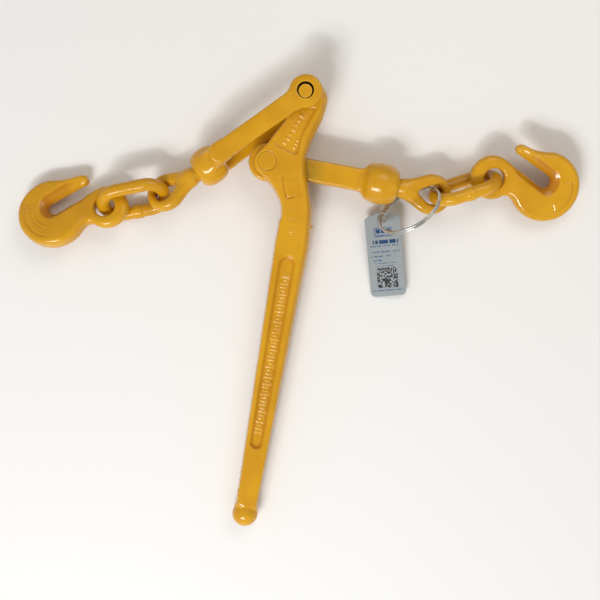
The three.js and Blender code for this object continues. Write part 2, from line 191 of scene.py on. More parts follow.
def read_at(grid, points):
    """Values of the grid between its cells."""
    base = np.clip(np.floor(points).astype(int), 0, np.array(grid.shape) - 2)
    part = points - base
    total = 0
    for i in (0, 1):
        for j in (0, 1):
            for k in (0, 1):
                weight = np.prod(np.abs(np.array((1 - i, 1 - j, 1 - k)) - part), axis=1)
                total = total + weight * grid[base[:, 0] + i, base[:, 1] + j, base[:, 2] + k]
    return total


HOLLOW_REACH = 2.4
FAR_OUTSIDE = 10.0


def solid(name, shape, place, low, high, step, body, node, slot="yellow_paint", extra_shade=None):
    """Meshes shape(x, y, z) over a box of its own frame, with that cell size, and puts the piece in place.
    The last argument, if given, is a function of (x, y, z) that adds to the reading that tells the paint
    where a surface is hollow, and so adds painted shade there."""
    x, y, z = cells(low, high, step)
    field = np.array(np.broadcast_to(shape(x, y, z), (x.size, y.size, z.size)), np.float32, order="C")
    grid = openvdb.FloatGrid(FAR_OUTSIDE)
    grid.copyFromArray(field)
    points, quads = grid.convertToQuads(0.0)
    local = points.astype(np.float64) * step + np.array(low)
    world = to_world(local, place)
    a, b, c = (world[quads[:, i]] for i in (0, 1, 2))
    if np.einsum("ij,ij->", a, np.cross(b, c)) < 0:
        quads = quads[:, ::-1]
    obj = piece(name, world, quads, body, node, slot)
    share = read_at(fullness(field / step, round(HOLLOW_REACH / step)), points)
    if extra_shade is not None:
        share = share + extra_shade(*local.T)
    obj.data.attributes.new("fullness", "FLOAT", "POINT").data.foreach_set("value", share.astype(np.float32))


def to_world(points, place):
    """Points of a frame, in mm, as the scene's metres."""
    matrix = np.array(FLOOR_SHIFT @ place)
    return (points @ matrix[:3, :3].T + matrix[:3, 3]) * MM


def piece(name, points, faces, body, node, slot):
    """An object that rides on the body and stands for the CAD node, in the body's own paint if it has one."""
    mesh = bpy.data.meshes.new(name)
    mesh.from_pydata([tuple(p) for p in points], [], [tuple(int(i) for i in f) for f in faces])
    mesh.update()
    mesh.shade_smooth()
    obj = bpy.data.objects.new(name, mesh)
    bpy.context.scene.collection.objects.link(obj)
    own_paint = MATERIALS.get(body) if slot == "yellow_paint" else None
    obj.data.materials.append(own_paint or MATERIALS[slot])
    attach(obj, body)
    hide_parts(node)
    return obj


# ---- shapes: distance fields, each in the frame of its own piece ----
def ribs(along, across, pitch, width, height, reach):
    """Row of short raised ribs, some long and some short: along runs down the row, across over it."""
    number = np.floor(along / pitch)
    offset = np.abs(along - (number + 0.5) * pitch)
    size = reach * (0.72 + 0.28 * np.sin(number * 2.4 + 1.0))
    sway = 0.2 * np.sin(number * 5)
    return height * (ramp(width / 2 - offset, -0.35, 0.35) * ramp(size - np.abs(across - sway), -0.4, 0.4))


# The lever's shank runs down -Y from the main pivot at the origin. LEVER_EDGE is the outline of its head and
# SHANK_EDGE that of its shank. RIDGE ends the flat face on the +X side, from where the flank slopes down to
# the outline. FIELD is the part of the face inside its raised rim, and SLOT_EDGE the fork between the ears.
LEVER_EDGE = (
    [(37.3, -70)]
    + spline([(38.1, -61), (39.2, -50), (39.3, -41), (38.9, -33), (37.8, -26), (36.5, -18), (35.1, -7),
              (35.1, 3), (36.7, 8.5), (40.6, 18.8), (45.4, 28.6), (49.9, 37.5), (53, 46.5), (54.3, 51.5),
              (54.5, 55.5), (53.6, 59.5), (51, 64), (46, 69), (40, 71.9), (33, 72.8), (26, 71), (21.2, 66),
              (19, 58), (18.4, 47), (15.2, 36.4)])
    + spline([(-1.1, 15.2), (-9.4, 7.4), (-12.4, 0.5), (-10.6, -7), (-4.4, -13.4), (0.2, -17.2),
              (4, -21.6), (7.6, -27.6), (10.2, -33), (11.6, -38.5), (11.9, -45), (11.4, -49.3),
              (9.9, -51.2), (9.2, -57.7)])
    + [(6.9, -68.5)]
)
SHANK_EDGE = [(8.4, -62), (38.2, -61), (36.9, -73.6), (-10.0, -307.6), (-28.6, -304.4), (6.5, -70.4)]
RIDGE = [(30, 90), (47.5, 62), (48.6, 54), (47.5, 44), (42.3, 33.6), (35.4, 20.6), (31.9, 6.8), (31, -6),
         (31.8, -13), (34.2, -24), (35.6, -34), (35.8, -47), (34.4, -62), (32.8, -73), (-12, -320),
         (-60, -320), (-60, 90)]
FIELD = [(30, 90), (45.5, 60), (46.5, 48.3), (36.5, 33.6), (30.5, 21.5), (26.7, 6.8), (27.4, -9.5),
         (31.1, -29.3), (31.1, -46.7), (29.8, -72), (28.3, -91.9), (-3.8, -262), (-60, -262), (-60, 90)]
UPPER_PANEL = [(22, 50), (13.7, 27), (6.4, 15.6), (7.6, 13.2), (24, 5.2), (26.6, 6.4), (28.4, 12),
               (30.3, 21.5), (36.3, 33.6), (43, 46)]
LOWER_PANEL = spline([(13, -4), (13.6, -16), (15.6, -28), (17.4, -31.6), (21, -31.6), (29.2, -29.6)], 3)
LOWER_PANEL += [(27, -6)]
SLOT_EDGE = [(-60, 90), (-60, 0)] + arc(0, 0, 17.5, 180, 290.5, 24) + [(70, -54.1), (70, 90)]
GROOVE_HEAD, GROOVE_FOOT = (17.1, -90), (-10.0, -247.6)
GROOVE_WAY = (-0.169, -0.9856)  # unit vector down the groove
PANEL_CENTRE = (26, 24)
PANEL_WAY = (0.53, 0.85)  # unit vector up the upper panel
KNOB_AT = (-20.6, -313)
KNOB_RADIUS = 11.4
KNOB_NECK = [(-26.5, -290), (-14, -292), (-14.4, -307), (-27.2, -304)]
FORK_HALF = 8
STUB_END = 24.7
COUNTERSINK_FLOOR = 12.5


def flank_height(y):
    """Half the lever's thickness, which swells from the knob to the head."""
    return np.interp(y, [-306, -72, -58, -18], [9.6, 11.2, 11.6, 15.4])


def groove_relief(x, y):
    """The long groove of the shank, with a row of ribs down its floor."""
    depth = 2.3 * ramp(-segment(x, y, GROOVE_HEAD, GROOVE_FOOT, 8.0, 6.3), 0.0, 2.2)
    from_head_x, from_head_y = x - GROOVE_HEAD[0], y - GROOVE_HEAD[1]
    down = from_head_x * GROOVE_WAY[0] + from_head_y * GROOVE_WAY[1]
    over = from_head_x * -GROOVE_WAY[1] + from_head_y * GROOVE_WAY[0]
    row = ramp(down, 7, 9) * ramp(153 - down, 0, 2)
    return row * ribs(down, over - 1.2 + 0.008 * down, 3.1, 1.5, 0.75, 3.9) - depth


def upper_panel_relief(x, y):
    """The sunk panel on the head, with two rows of ribs."""
    panel = outline(x, y, UPPER_PANEL)
    from_x, from_y = x - PANEL_CENTRE[0], y - PANEL_CENTRE[1]
    along = from_x * PANEL_WAY[0] + from_y * PANEL_WAY[1]
    across = from_x * PANEL_WAY[1] - from_y * PANEL_WAY[0]
    inside = ramp(-panel, 1.8, 2.6) * ramp(along, -15, -14) * ramp(17 - along, 0, 1)
    near_row = ribs(along, across - 4.6, 3.4, 1.7, 0.8, 3.1)
    far_row = ribs(along + 1.2, across + 4.4, 4.6, 2.2, 0.8, 2.6)
    return inside * (near_row + far_row) - 1.1 * ramp(-panel, -0.3, 0.8)


def lower_panel_relief(x, y):
    """The shallow panel under the pivot, its outline cut in as a groove, and a row of small ribs below it."""
    panel = outline(x, y, LOWER_PANEL)
    sunk = 0.65 * ramp(-panel, -0.2, 0.8) * ramp(-9 - y, 0, 7)
    line = 0.95 * ramp(1.1 - np.abs(panel), 0, 0.9) * ramp(-10 - y, 0, 5) * ramp(26.5 - x, 0, 3)
    row = ramp(-38.5 - y, 0, 1) * ramp(y + 74, 0, 1)
    return row * ribs(-y, x - 22.4 - (y + 56) * 0.05, 2.5, 1.2, 0.45, 3.6) - sunk - line


def lever_face(x, y, front):
    """Height of the lever's flat side above its middle plane; only the front one has the two panels."""
    rim = ramp(outline(x, y, FIELD), -0.6, 0.6) * (0.35 + 0.4 * ramp(y, -82, -66)) * ramp(y, -262, -248)
    height = flank_height(y).astype(np.float32) + groove_relief(x, y) + rim
    if front:
        height = height + upper_panel_relief(x, y) + lower_panel_relief(x, y)
    return height


def lever(x, y, z):
    edge = np.minimum(outline(x, y, LEVER_EDGE), outline(x, y, SHANK_EDGE))
    inner = np.maximum(edge + 1.3, outline(x, y, RIDGE) + 0.3)
    deep = np.where(z > 0, z - lever_face(x, y, True), -z - lever_face(x, y, False))
    side = edge + (inner - edge) * np.clip(np.abs(z) / flank_height(y), 0, 1) ** 2.2
    parting_line = 0.3 * np.exp(-(z / 0.9) ** 2)
    body = meet(side - parting_line, deep, 1.7)
    body = join(body, ball(x, y, z, KNOB_RADIUS, *KNOB_AT), 4)
    body = join(body, meet(outline(x, y, KNOB_NECK), np.abs(z) - 9, 3), 1)
    fork = np.maximum(outline(x, y, SLOT_EDGE), np.abs(z) - FORK_HALF)
    body = cut(body, fork, 0.9)
    from_stub = np.hypot(x - STUB_AT[0], y - STUB_AT[1] + STUB_DROP)
    stub = meet(from_stub - STUB_RADIUS, np.abs(z) - STUB_END, 0.3)
    body = join(body, np.maximum(stub, FORK_HALF - np.abs(z)), 1.2)
    hole = np.hypot(x, y)
    body = cut(body, hole - PIN_HOLE, 0.3)
    countersink = hole - 8.15 + np.clip(15.5 - np.abs(z), 0, 3) * 0.23
    body = cut(body, np.maximum(countersink, COUNTERSINK_FLOOR - np.abs(z)))
    burr = ball(x, y, z, 1.5, 38.9, -56.7, 1)
    return join(body, burr, 1) - 0.14 * unevenness(x, y, z, 34, 3)


def main_rivet(x, y, z):
    r = np.hypot(x, y)
    flare = 7.5 + np.clip((np.abs(z) - COUNTERSINK_FLOOR) / 3, 0, 1) * 0.75
    crown = 15.45 - 0.0048 * r * r
    return meet(r - flare, np.abs(z) - crown, 0.5) - 0.05 * unevenness(x, y, z, 9, 5)


# Profiles of the two bulbs, as (distance along X, radius), and outlines of the arm and the yoke's bridge.
ARM_BULB = [(84, 0), (84, 8), (87.2, 11.8), (89.4, 15.0), (92, 16.6), (96, 17.6), (102.6, 18.2),
            (107.2, 17.7), (111.6, 16.3), (115, 14.3), (117, 11.9), (118.5, 9.2), (118.9, 0)]
YOKE_BULB = [(91, 0), (91, 8), (93.2, 12.6), (95, 14.9), (98, 16.3), (103, 17.1), (108.4, 17.0),
             (112.6, 15.9), (115.6, 14.0), (117.8, 11.3), (118.8, 8.8), (119.2, 0)]


def bulb(x, r, profile):
    """Solid turned about X, with a flat foot and a flat mouth."""
    return outline(x, r, [profile[0]] + spline(profile[1:-1], 4) + [profile[-1]])


def socket(x, y, z, socket_x):
    """Hollow for a swivel's ball head, opening towards +X."""
    r = np.hypot(y, z)
    mouth = np.maximum(r - (9 + np.clip(x - socket_x - 9, 0, 9) * 0.29), socket_x - x)
    return np.minimum(ball(x, y, z, 11.9, socket_x), mouth)


ARM_EDGE = [(0, -10.2), (79, -10.2), (84.5, -10.6), (88, -12.6), (90, -15), (95, -15), (95, 15), (90, 15),
            (88, 12.6), (84.5, 10.6), (79, 10.2), (0, 10.2)]


def tension_arm(x, y, z):
    plan = join(np.hypot(x, y) - 16.7, outline(x, y, ARM_EDGE), 3)
    body = meet(plan + 0.012 * z * z, np.abs(z) - 7.5, 2)
    r = np.hypot(y, z)
    facets = 0.16 * np.cos(np.arctan2(z, y) * 9 + 0.6) * ramp(x, 104, 114) * ramp(r, 9, 14)
    body = join(body, bulb(x, r, ARM_BULB) + facets, 2.4)
    body = cut(body, socket(x, y, z, ARM_SOCKET[0]), 0.8)
    body = cut(body, np.hypot(x, y) - PIN_HOLE, 0.4)
    return body - 0.2 * unevenness(x, y, z, 20, 11)


LOBE_RADIUS = 14.4


def strap_edge(low, high, lobe):
    """Outline of one strap of the yoke, from its two edges and the height of its lobe's centre."""
    return (
        spline([(98.6, low + 3), (100.2, (low + high) / 2), (98.6, high - 3)], 4) + [(94, high), (22, high)]
        + spline([(22, high), (16.4, high + 0.2), (12.6, high + 1.0)], 3)
        + arc(0, lobe, LOBE_RADIUS, 45, 315, 40)
        + spline([(12.6, low - 0.9), (16.4, low - 0.1), (22, low)], 3) + [(94, low)]
    )


BRIDGE_EDGE = [(84, -24), (95, -24.4), (108, -14), (108, 14), (95, 24.4), (84, 24), (84, 17.4), (89, 15.5),
               (92, 11), (93, 6), (93, -6), (92, -11), (89, -15.5), (84, -17.4)]
STRAP_CENTRE, STRAP_HALF = 21, 4


def take_up_yoke(x, y, z):
    """Two straps, of which the front one sits lower: the yoke leans in its loose holes."""
    front = outline(x, y, strap_edge(-7.6, 9.6, 0.6))
    rear = outline(x, y, strap_edge(-4.2, 13.3, 1.6))
    crown = 0.012 * (y - 1) ** 2 * (np.abs(z) > STRAP_CENTRE)
    body = meet(np.where(z > 0, front, rear), np.abs(np.abs(z) - STRAP_CENTRE) - STRAP_HALF + crown, 1.9)
    bridge = meet(outline(x, z, BRIDGE_EDGE), np.abs(y - 2.6 + 0.08 * z) - 8.8, 2.2)
    body = join(body, bridge, 1.6)
    socket_x, socket_y, _ = YOKE_SOCKET
    body = join(body, bulb(x, np.hypot(y - socket_y, z), YOKE_BULB), 3)
    body = cut(body, socket(x, y - socket_y, z, socket_x), 0.8)
    body = cut(body, np.hypot(x, y) - YOKE_HOLE, 0.25)
    return body - 0.22 * unevenness(x, y, z, 24, 21) - 0.16 * unevenness(x, y, z, 8, 22, (5, 1, 1))


EYE_AT, EYE_RADIUS, EYE_HALF = 44, 18, 5.5
EYE_LEAN = 68
EYE_HOLE_SIDE = [(38, -5.2), (42.5, -7.9), (47.4, -8.8), (52.4, -6.4)]
STEM = [(6, 0), (6, 7.5), (13.5, 7.5), (17, 7.9), (21, 7.9), (26, 6.6), (31, 3.4), (32, 0)]
BALL_HEAD = 11.5


def eye_outlines():
    """The drop-shaped eye, whose round end meets the neck at EYE_LEAN degrees, and its pear-shaped hole."""
    lean = math.radians(EYE_LEAN)
    tangent = (EYE_AT - EYE_RADIUS * math.cos(lean), EYE_RADIUS * math.sin(lean))
    upper = spline([(16, 7.9), (23, 9.9), (30, 13.0), tangent], 4)
    lower = [(a, -b) for a, b in upper]
    drop = lower + arc(EYE_AT, 0, EYE_RADIUS, 180 + EYE_LEAN, 540 - EYE_LEAN, 40) + upper[::-1]
    far_side = [(a, -b) for a, b in EYE_HOLE_SIDE[::-1]]
    hole = [(33.4, -1.9)] + EYE_HOLE_SIDE + [(54.6, 0)] + far_side + [(33.4, 1.9), (32.5, 0), (33.4, -1.9)]
    return drop, spline(hole, 4)


def swivel_eye(x, y, z):
    drop, hole = eye_outlines()
    inner = outline(x, y, hole)
    body = meet(outline(x, y, drop), np.abs(z) - EYE_HALF, 4.4)
    body = cut(body, inner, 3.2)
    stem = cut(outline(x, np.hypot(y, z), STEM), inner, 2.0)
    body = join(body, stem, 2.5)
    body = join(body, ball(x, y, z, BALL_HEAD), 1.5)
    return body - 0.17 * unevenness(x, y, z, 17, 31)


LINK_STRAIGHT, LINK_BEND, LINK_WIRE = 12.25, 15.5, 5.8
WELD_HALF = 2.6


def chain_link(x, y, z, side):
    """Oval link with its weld swelling, and a burr at each end of it, on the bar at side * z."""
    ring = np.hypot(np.clip(np.abs(x) - LINK_STRAIGHT, 0, None), z) - LINK_BEND
    wire = np.hypot(ring, y) - LINK_WIRE
    welded_bar = ramp(side * z, 4, 9)
    weld = np.exp(-(x / WELD_HALF) ** 2) * welded_bar
    burr = np.exp(-((np.abs(x) - WELD_HALF) / 0.8) ** 2) * welded_bar
    return wire - 0.9 * weld - 0.45 * burr - 0.08 * unevenness(x, y, z, 16, 41)


# The hook's bend is centred on the origin and its eye on +X; the throat runs from the bend up to the mouth.
HOOK_EDGE = (
    [(1, 11.1), (30.2, 24.1)]
    + arc(28.2, 28.3, 4.6, -64, 100, 14)
    + spline([(27.4, 32.8), (19.5, 31), (12, 30.1), (6, 30.2), (-1.1, 31)], 4)
    + arc(0, 0, 31, 92, 322, 60)
    + spline([(24.4, -19.1), (28.6, -15), (32, -14), (35.5, -14.5)], 4)
    + arc(48.4, 0, 19.4, 228.5, 476.2, 50)
    + [(12.7, 3.4), (4.4, -0.8)]
    + arc(1.8, 4.6, 6, 296, 116, 24)
)
THROAT = [(1.8, 4.6), (38, 22.4)]
HOOK_HALF, HOOK_EYE_STEP = 8.2, 2.5
HOOK_EYE_AT, HOOK_EYE_HOLE = (46.8, -0.6), 9.2


def throat_dish(x, y):
    """From 1 at the throat's edge to 0 where the chamfer round it ends; none on the shank's side."""
    throat = segment(x, y, THROAT[0], THROAT[1], 6.0, 7.0)
    above_shank = ramp((x - 4) * (-0.442) + (y + 1) * 0.897, -6.5, -1.5)
    near_finger = np.maximum(above_shank, ramp(4 - x, 0, 7))
    return np.clip(1 - throat / 7.6, 0, 1) * near_finger * ramp(33 - x, 0, 8)


def throat_shade(x, y, z):
    """Painted shade on the dished faces beside the throat: makes the paint read them as a hollow, where its
    colour is deeper.
    """
    return 0.15 * ramp(throat_dish(x, y), 0.02, 0.2) * ramp(30 - x, -14, 26)


def hook_face(x, y, ribbed):
    """Height of the hook's side above its middle plane: dish round the throat, thin eye, and on the bend a
    sunk line, a raised one, and between them ribs or a plain raised band."""
    height = HOOK_HALF - HOOK_EYE_STEP * ramp(x, 21, 35) - 3.4 * throat_dish(x, y)
    around = np.degrees(np.arctan2(y, x))
    around = np.where(around < 0, around + 360, around)
    r = np.hypot(x, y)
    band = ramp(around, 150, 162) * ramp(262 - around, 0, 14)
    height = height - 0.55 * band * ramp(1.3 - np.abs(r - 24.2), 0, 1.2)
    height = height + 0.4 * band * ramp(1.4 - np.abs(r - 15.8), 0, 1.2)
    if ribbed:
        marks = ribs(around * 0.36, r - 19.8, 2.7, 1.3, 0.6, 2.2)
    else:
        marks = 0.55 * ramp(3.6 - np.abs(r - 19.8), 0, 1.2)
    return height + marks * ramp(around, 158, 162) * ramp(238 - around, 0, 4)


def grab_hook(x, y, z):
    edge = outline(x, y, HOOK_EDGE)
    face = np.where(z > 0, hook_face(x, y, True), hook_face(x, y, False))
    body = meet(edge + 0.01 * z * z, np.abs(z) - face, 4.2)
    hole = np.hypot(x - HOOK_EYE_AT[0], y - HOOK_EYE_AT[1]) - HOOK_EYE_HOLE
    body = cut(body, hole, 2.6)
    return body - 0.2 * unevenness(x, y, z, 26, 51)


def split_ring(turns=1.95, radius=29.2, wire=1.0, pitch=2.0, steps=170, sides=12):
    """Two turns of spring wire lying side by side: rows of points round its path, and the faces between them.
    The wire narrows over its last two steps at each end."""
    rows, faces = [], []
    for i in range(steps + 1):
        a = 2 * math.pi * turns * i / steps
        climb = pitch / (2 * math.pi) * (a - math.pi * turns)
        at = Vector((radius * math.cos(a), radius * math.sin(a), climb))
        out = Vector((math.cos(a), math.sin(a), 0))
        r = wire * min(1, 0.35 + 0.4 * min(i, steps - i))
        for k in range(sides):
            b = 2 * math.pi * k / sides
            rows.append(at + out * (r * math.cos(b)) + Vector((0, 0, r * math.sin(b))))
    for i in range(steps):
        for k in range(sides):
            n = (k + 1) % sides
            faces.append((i * sides + k, i * sides + n, (i + 1) * sides + n, (i + 1) * sides + k))
    faces.append(tuple(range(sides))[::-1])
    faces.append(tuple(range(steps * sides, (steps + 1) * sides)))
    return rows, faces


def tag_plate(x, y, z, half=16, corner=4.5, foot=-71):
    """Plate hanging down -Y from its hole, with a low arch for its top edge."""
    top = spline([(-half, 0), (-8, 3.6), (0, 4.9), (8, 3.6), (half, 0)], 5)
    left_corner = arc(corner - half, foot + corner, corner, 180, 270, 8)
    right_corner = arc(half - corner, foot + corner, corner, 270, 360, 8)
    body = meet(outline(x, y, left_corner + right_corner + top[::-1]), np.abs(z) - 0.6, 0.25)
    return cut(body, np.hypot(x, y) - 4, 0.2)


# ---- materials ----
PAINT = (0.60, 0.288, 0.008)
PAINT_LIGHTER = (0.67, 0.34, 0.010)
PAINT_THIN = (0.74, 0.42, 0.02)
# Deeper, darker paint colour used as painted shade in hollows, in place of the shade and warm bounced light
# there.
PAINTED_SHADE_IN_HOLLOW = (0.42, 0.13, 0.005)
PIT_DIRT = (0.42, 0.17, 0.01)
BARE_STEEL = (0.10, 0.065, 0.035)
# Black for the gaps round pins: dirt and painted shade.
BLACK_DIRT_AND_SHADE = (0.012, 0.009, 0.006)
# Olive tone for the painted shade that the lever casts on the arm.
LEVER_SHADE_ON_ARM = (0.19, 0.14, 0.015)


def material(name, colour, metallic, roughness):
    """A new material, with its node tree and its shader."""
    mat = bpy.data.materials.new(name)
    mat.use_nodes = True
    tree = mat.node_tree
    shader = tree.nodes["Principled BSDF"]
    shader.inputs["Base Color"].default_value = (*colour, 1)
    shader.inputs["Metallic"].default_value = metallic
    shader.inputs["Roughness"].default_value = roughness
    return mat, tree, shader


def add(tree, kind, at=None, **values):
    """Adds a shader node, sets its properties, and joins at, if given, to its Vector input."""
    node = tree.nodes.new("ShaderNode" + kind)
    for name, value in values.items():
        setattr(node, name, value)
    if at is not None:
        tree.links.new(at, node.inputs["Vector"])
    return node


def math_node(tree, operation, *inputs, clamp=False):
    """Output of a Math node whose inputs are numbers or other nodes' outputs."""
    node = add(tree, "Math", operation=operation, use_clamp=clamp)
    for socket_in, value in zip(node.inputs, inputs):
        if isinstance(value, (int, float)):
            socket_in.default_value = value
        else:
            tree.links.new(value, socket_in)
    return node.outputs[0]


def stretch(tree, value, low, high, to_low=0.0, to_high=1.0):
    """Smooth step of a node's output from one range to another."""
    node = add(tree, "MapRange", interpolation_type="SMOOTHSTEP")
    tree.links.new(value, node.inputs["Value"])
    for key, number in (("From Min", low), ("From Max", high), ("To Min", to_low), ("To Max", to_high)):
        node.inputs[key].default_value = number
    return node.outputs["Result"]


def blend(tree, weight, a, b):
    """Colour mixed from a to b by a node's output; a and b are colours or other nodes' outputs."""
    node = add(tree, "Mix", data_type="RGBA")
    for key, value in (("Factor", weight), ("A", a), ("B", b)):
        socket_in = [s for s in node.inputs if s.name == key and (key == "Factor" or s.type == "RGBA")][0]
        if isinstance(value, tuple):
            socket_in.default_value = (*value, 1)
        else:
            tree.links.new(value, socket_in)
    return [s for s in node.outputs if s.type == "RGBA"][0]


def noise(tree, at, scale, detail, roughness):
    node = add(tree, "TexNoise", at)
    for key, value in (("Scale", scale), ("Detail", detail), ("Roughness", roughness)):
        node.inputs[key].default_value = value
    return node.outputs["Fac"]


def bump(tree, shader, layers):
    """Stacks bump layers of (height, distance in metres, strength)."""
    normal = None
    for height, distance, strength in layers:
        node = add(tree, "Bump")
        node.inputs["Distance"].default_value = distance
        node.inputs["Strength"].default_value = strength
        tree.links.new(height, node.inputs["Height"])
        if normal is not None:
            tree.links.new(normal, node.inputs["Normal"])
        normal = node.outputs["Normal"]
    tree.links.new(normal, shader.inputs["Normal"])


def from_axis(tree, at, place, centre):
    """Distance in mm from an axis that stands at centre in the frame place, and height above or below it."""
    frame_now = FLOOR_SHIFT @ place
    upright = frame_now.to_3x3() @ Vector((0, 0, 1))
    offset = add(tree, "VectorMath", operation="SUBTRACT")
    tree.links.new(at, offset.inputs[0])
    offset.inputs[1].default_value = (frame_now @ Vector((*centre, 0))) * MM
    across = add(tree, "VectorMath", operation="CROSS_PRODUCT")
    length = add(tree, "VectorMath", operation="LENGTH")
    along = add(tree, "VectorMath", operation="DOT_PRODUCT")
    for node in (across, along):
        tree.links.new(offset.outputs[0], node.inputs[0])
        node.inputs[1].default_value = upright
    tree.links.new(across.outputs[0], length.inputs[0])
    height = math_node(tree, "ABSOLUTE", along.outputs["Value"])
    return tuple(math_node(tree, "MULTIPLY", metres, 1 / MM) for metres in (length.outputs["Value"], height))


def yellow_paint(name, gap_dirt_and_shade=(), lever_shade=None):
    """Golden-yellow enamel over forged steel: orange peel, thin edges, painted shade in hollows as a deeper
    colour, faint chips.
    The second argument lists the gaps round pins, darkened by dirt and by painted shade, as (frame, centre,
    inner radius, outer radius, lowest height, strength). The third is painted olive shade where the lever
    shades the arm, as (frame, centre, inner radius, outer radius)."""
    mat, tree, shader = material(name, (0.62, 0.30, 0.006), 0.0, 0.2)
    shader.inputs["Specular IOR Level"].default_value = 0.4
    at = add(tree, "TexCoord").outputs["Object"]
    peel = noise(tree, at, 900, 2, 0.5)
    waves = noise(tree, at, 140, 3, 0.55)
    clouds = noise(tree, at, 26, 3, 0.6)
    pits = stretch(tree, noise(tree, at, 420, 2, 0.5), 0.27, 0.2)
    share = add(tree, "Attribute", attribute_name="fullness").outputs["Fac"]
    edge = stretch(tree, share, 0.40, 0.24)
    # hollow weights the painted shade: the more hollow the surface, the deeper and darker its colour.
    hollow = stretch(tree, share, 0.52, 0.66)
    colour = blend(tree, stretch(tree, clouds, 0.35, 0.65), PAINT, PAINT_LIGHTER)
    for weight, strength, tone in ((edge, 0.4, PAINT_THIN),
                                   (hollow, 0.75, PAINTED_SHADE_IN_HOLLOW),
                                   (pits, 0.35, PIT_DIRT)):
        colour = blend(tree, math_node(tree, "MULTIPLY", weight, strength), colour, tone)
    chip = math_node(tree, "MULTIPLY", stretch(tree, noise(tree, at, 260, 4, 0.62), 0.58, 0.63),
                     stretch(tree, noise(tree, at, 33, 2, 0.5), 0.58, 0.64))
    chip = math_node(tree, "MULTIPLY", chip, stretch(tree, share, 0.3, 0.22))
    colour = blend(tree, chip, colour, BARE_STEEL)
    # Black dirt and painted shade in the ring of each gap round a pin, from the given height away from the
    # middle plane.
    for place, centre, inner, outer, lowest, strength in gap_dirt_and_shade:
        across, height = from_axis(tree, at, place, centre)
        ring = math_node(tree, "MULTIPLY", stretch(tree, across, outer, outer - 0.12),
                         stretch(tree, across, inner, inner + 0.12))
        ring = math_node(tree, "MULTIPLY", ring, stretch(tree, height, lowest, lowest + 0.3, 0.0, strength))
        colour = blend(tree, ring, colour, BLACK_DIRT_AND_SHADE)
    # Painted olive shade on the arm beside the lever, mottled, where the lever shades it.
    if lever_shade:
        place, centre, inner, outer = lever_shade
        shade_patch = stretch(tree, from_axis(tree, at, place, centre)[0], outer, inner)
        mottle = stretch(tree, noise(tree, at, 60, 3, 0.6), 0.2, 0.75, 0.45, 0.95)
        colour = blend(tree, math_node(tree, "MULTIPLY", shade_patch, mottle), colour, LEVER_SHADE_ON_ARM)
    tree.links.new(colour, shader.inputs["Base Color"])
    tree.links.new(stretch(tree, waves, 0.3, 0.7, 0.10, 0.2), shader.inputs["Roughness"])
    bump(tree, shader, [(waves, 0.0011, 0.3), (peel, 0.00018, 0.35), (chip, -0.0003, 0.5)])
    return mat


def zinc_steel():
    """Bright plated wire, dulled in patches."""
    mat, tree, shader = material("zinc_steel", (0.62, 0.64, 0.63), 1.0, 0.22)
    at = add(tree, "TexCoord").outputs["Object"]
    dull = stretch(tree, noise(tree, at, 110, 3, 0.6), 0.35, 0.7)
    tree.links.new(blend(tree, dull, (0.66, 0.67, 0.66), (0.54, 0.55, 0.53)), shader.inputs["Base Color"])
    grain = noise(tree, at, 500, 2, 0.5)
    tree.links.new(stretch(tree, grain, 0.3, 0.7, 0.2, 0.3), shader.inputs["Roughness"])
    return mat


PLATE_GREY = (0.28, 0.31, 0.325)
PLATE_GREY_LIGHTER = (0.325, 0.35, 0.365)
FAINT_PRINT = (0.03, 0.10, 0.24)
STRONG_PRINT = (0.006, 0.05, 0.15)
CELL_PRINT = (0.012, 0.012, 0.014)
# Rows of small blocks on the tag, in mm from its hole: lowest and highest y, left and right x, seed.
PRINT_ROWS = ((-25.6, -24.6, -12.8, 12.6, 21), (-31, -29.8, -12.6, 13.2, 33), (-35, -33.7, -12.8, 5.4, 41),
              (-38.8, -37.4, -12.2, -1.8, 55), (-41.2, -40.3, -9.8, 9.2, 61), (-43.6, -42.9, -8.3, 7.8, 71),
              (-66, -65, -13.8, 14.6, 83))
CELL_SIZE = 0.94


def frame_xy(tree, at, place):
    """X and Y in mm in the frame place, from the scene's coordinates."""
    inverse = np.linalg.inv(np.array(FLOOR_SHIFT @ place))
    world = add(tree, "SeparateXYZ", at).outputs
    local = []
    for row in inverse[:2]:
        total = float(row[3]) * MM
        for k in range(3):
            term = math_node(tree, "MULTIPLY", world[k], float(row[k]))
            total = math_node(tree, "ADD", term, total)
        local.append(math_node(tree, "MULTIPLY", total, 1 / MM))
    return local


